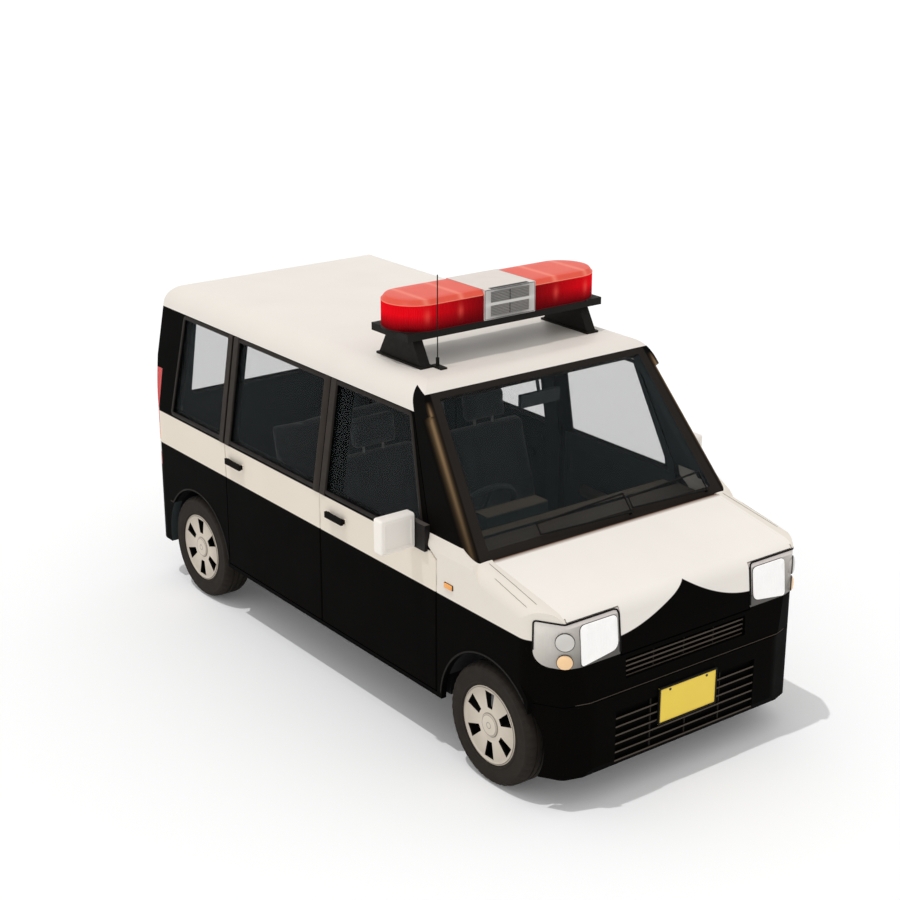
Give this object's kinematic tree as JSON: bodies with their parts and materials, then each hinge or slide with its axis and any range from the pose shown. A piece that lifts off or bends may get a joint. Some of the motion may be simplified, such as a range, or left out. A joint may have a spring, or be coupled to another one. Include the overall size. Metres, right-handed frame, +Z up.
{
  "type": "police patrol car",
  "caption": "Short, tall right-hand-drive police patrol van with hinged side doors, tailgate, bonnet, steered front wheels and a red roof light bar.",
  "frame": {"origin": "on the ground under the centre of the car's box", "axes": "+X forward, +Y to the car's left, +Z up"},
  "size_m": [3.272, 1.854, 1.9839],
  "materials": {
    "body_paint": "gloss two-tone paint",
    "roof_paint": "gloss white paint",
    "frame_black": "semi-gloss black",
    "window_glass": "dark tinted",
    "screen_glass": "clear, light tint",
    "lamp_lens": "clear lens on a bright reflector",
    "tail_lens": "moulded lens",
    "tyre": "smooth side walls",
    "wheel_silver": "satin silver",
    "steel_dark": "dark coated steel",
    "underbody": "matt coating",
    "cabin_trim": "grained trim",
    "seat_cloth": "woven cloth",
    "bar_black": "matt black",
    "beacon_red": "ribbed red lens",
    "beacon_silver": "satin silver with louvres",
    "plate_yellow": "yellow plate, blank",
    "tank_grey": "moulded",
    "exhaust_steel": "weathered steel"
  },
  "bodies": {
    "root": {"windscreen_frame": "frame_black", "windscreen": "screen_glass", "roof_panel": "roof_paint", "headlamps": "lamp_lens", "nose_panel": "body_paint", "bumper_front": "body_paint", "tail_lamps": "tail_lens", "bumper_rear": "body_paint", "floor_pan": "underbody", "cowl": "frame_black", "front_seats": "seat_cloth", "rear_bench": "seat_cloth", "dashboard": "cabin_trim", "steering_column": "cabin_trim", "engine_block": "steel_dark", "fuel_tank": "tank_grey", "rear_axle": "steel_dark", "front_subframe": "steel_dark", "exhaust": "exhaust_steel", "light_bar_base": "bar_black", "light_bar_domes": "beacon_red", "light_bar_centre": "beacon_silver", "aerial": "bar_black", "plate_front": "plate_yellow", "inside_mirror": "cabin_trim", "wipers": "bar_black", "side_frame_right": "body_paint", "quarter_glass_right": "window_glass", "fender_right": "body_paint", "side_frame_left": "body_paint", "quarter_glass_left": "window_glass", "fender_left": "body_paint"},
    "front_door_right": {"door_front_right": "body_paint", "glass_front_right": "window_glass", "mirror_right": "roof_paint"},
    "rear_door_right": {"door_rear_right": "body_paint", "glass_rear_right": "window_glass"},
    "steer_right": {"knuckle_right": "steel_dark"},
    "front_wheel_right": {"tyre_front_right": "tyre", "wheel_front_right": "wheel_silver"},
    "rear_wheel_right": {"tyre_rear_right": "tyre", "wheel_rear_right": "wheel_silver"},
    "front_door_left": {"door_front_left": "body_paint", "glass_front_left": "window_glass", "mirror_left": "roof_paint"},
    "rear_door_left": {"door_rear_left": "body_paint", "glass_rear_left": "window_glass"},
    "steer_left": {"knuckle_left": "steel_dark"},
    "front_wheel_left": {"tyre_front_left": "tyre", "wheel_front_left": "wheel_silver"},
    "rear_wheel_left": {"tyre_rear_left": "tyre", "wheel_rear_left": "wheel_silver"},
    "bonnet_lid": {"bonnet": "roof_paint"},
    "rear_gate": {"tailgate": "body_paint", "tailgate_glass": "window_glass", "plate_rear": "plate_yellow"},
    "hand_wheel": {"steering_wheel": "cabin_trim"}
  },
  "joints": [
    {"name": "steer_left", "type": "hinge", "parent": "root", "child": "steer_left", "pos_m": [1.2155, 0.612, 0.18], "axis": [0, -0.2106, 0.9776], "range_deg": [-33, 33]},
    {"name": "steer_right", "type": "hinge", "parent": "root", "child": "steer_right", "pos_m": [1.2155, -0.612, 0.18], "axis": [0, 0.2106, 0.9776], "range_deg": [-33, 33]},
    {"name": "spin_front_left", "type": "hinge", "parent": "steer_left", "child": "front_wheel_left", "pos_m": [1.2155, 0.6525, 0.266], "axis": [0, 1, 0], "continuous": true},
    {"name": "spin_rear_left", "type": "hinge", "parent": "root", "child": "rear_wheel_left", "pos_m": [-1.1905, 0.6525, 0.266], "axis": [0, 1, 0], "continuous": true},
    {"name": "spin_front_right", "type": "hinge", "parent": "steer_right", "child": "front_wheel_right", "pos_m": [1.2155, -0.6525, 0.266], "axis": [0, 1, 0], "continuous": true},
    {"name": "spin_rear_right", "type": "hinge", "parent": "root", "child": "rear_wheel_right", "pos_m": [-1.1905, -0.6525, 0.266], "axis": [0, 1, 0], "continuous": true},
    {"name": "open_front_left", "type": "hinge", "parent": "root", "child": "front_door_left", "pos_m": [0.8585, 0.7275, 0.6], "axis": [0, 0, -1], "range_deg": [0, 65]},
    {"name": "open_rear_left", "type": "hinge", "parent": "root", "child": "rear_door_left", "pos_m": [-0.0335, 0.7275, 0.6], "axis": [0, 0, -1], "range_deg": [0, 70]},
    {"name": "open_front_right", "type": "hinge", "parent": "root", "child": "front_door_right", "pos_m": [0.8585, -0.7275, 0.6], "axis": [0, 0, 1], "range_deg": [0, 65]},
    {"name": "open_rear_right", "type": "hinge", "parent": "root", "child": "rear_door_right", "pos_m": [-0.0335, -0.7275, 0.6], "axis": [0, 0, 1], "range_deg": [0, 70]},
    {"name": "open_bonnet", "type": "hinge", "parent": "root", "child": "bonnet_lid", "pos_m": [1.128, 0, 0.94196], "axis": [0, -1, 0], "range_deg": [0, 55]},
    {"name": "open_tailgate", "type": "hinge", "parent": "root", "child": "rear_gate", "pos_m": [-1.58028, 0, 1.476], "axis": [0, 1, 0], "range_deg": [0, 85]},
    {"name": "turn_steering_wheel", "type": "hinge", "parent": "root", "child": "hand_wheel", "pos_m": [0.585, -0.29, 0.905], "axis": [-0.848, 0, 0.5299], "range_deg": [-495, 495]}
  ],
  "couplings": [
    {"joint": "steer_right", "follows": "steer_left", "ratio": 1},
    {"joint": "turn_steering_wheel", "follows": "steer_left", "ratio": 15}
  ]
}
